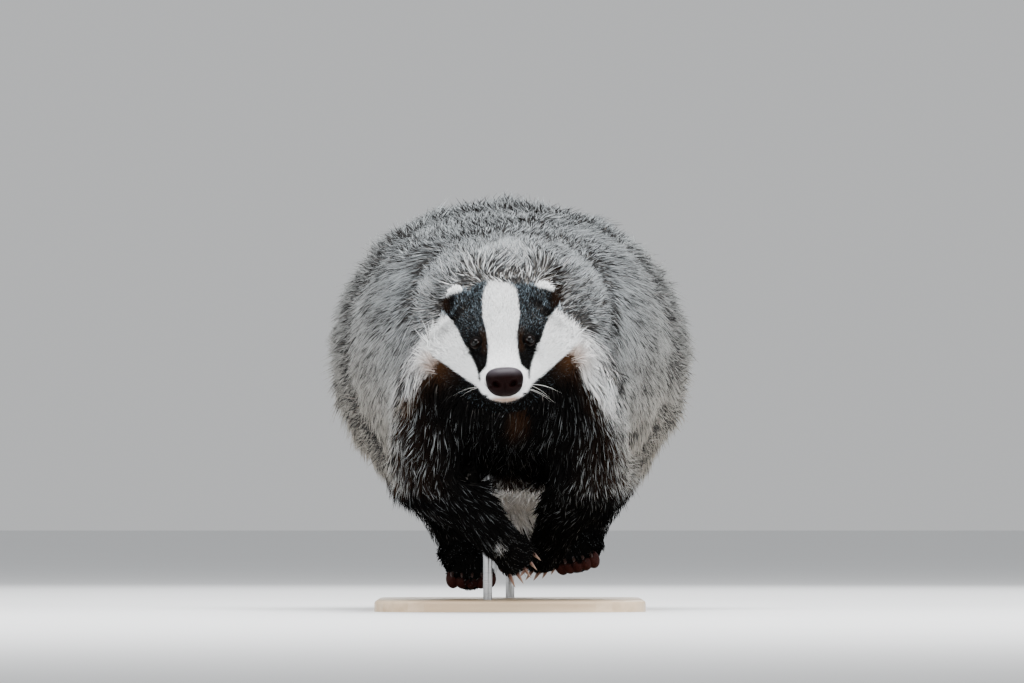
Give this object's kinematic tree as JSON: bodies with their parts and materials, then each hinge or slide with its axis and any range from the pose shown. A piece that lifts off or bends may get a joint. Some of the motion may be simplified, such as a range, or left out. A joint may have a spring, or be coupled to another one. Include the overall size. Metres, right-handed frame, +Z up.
{
  "type": "european badger",
  "caption": "Life-size European badger in mid gallop with its feet off the ground, held over a flat board by short steel rods.",
  "frame": {"origin": "middle of the underside of the stand's base, which lies on the floor", "axes": "-Y the way the badger runs, +X its left side, +Z up"},
  "size_m": [0.328, 0.8335, 0.3751],
  "materials": {
    "grey_coat": "matt",
    "face_coat": "matt",
    "dark_coat": "satin",
    "nose": "satin",
    "pad": "matt",
    "eye": "polished",
    "claw": "satin",
    "stand_board": "satin",
    "stand_steel": "satin"
  },
  "bodies": {
    "root": {"head": "face_coat", "lower_jaw": "face_coat", "nose_pad": "nose", "ear_left": "dark_coat", "ear_right": "dark_coat", "eye_left": "eye", "eye_right": "eye", "neck": "grey_coat", "chest": "grey_coat", "abdomen": "grey_coat", "hindquarters": "grey_coat", "tail": "grey_coat", "upper_arm_left": "dark_coat", "upper_arm_right": "dark_coat", "forearm_left": "dark_coat", "forearm_right": "dark_coat", "forepaw_left": "dark_coat", "forepaw_right": "dark_coat", "thigh_left": "grey_coat", "thigh_right": "grey_coat", "hind_foot_left": "dark_coat", "hind_foot_right": "dark_coat", "fore_claw_left_1": "claw", "fore_claw_left_2": "claw", "fore_claw_left_3": "claw", "fore_claw_left_4": "claw", "fore_claw_left_5": "claw", "fore_claw_right_1": "claw", "fore_claw_right_2": "claw", "fore_claw_right_3": "claw", "fore_claw_right_4": "claw", "fore_claw_right_5": "claw", "hind_claw_left_1": "claw", "hind_claw_left_2": "claw", "hind_claw_left_3": "claw", "hind_claw_left_4": "claw", "hind_claw_left_5": "claw", "hind_claw_right_1": "claw", "hind_claw_right_2": "claw", "hind_claw_right_3": "claw", "hind_claw_right_4": "claw", "hind_claw_right_5": "claw", "stand_base": "stand_board", "stand_rod_front": "stand_steel", "stand_rod_rear": "stand_steel"}
  },
  "joints": []
}
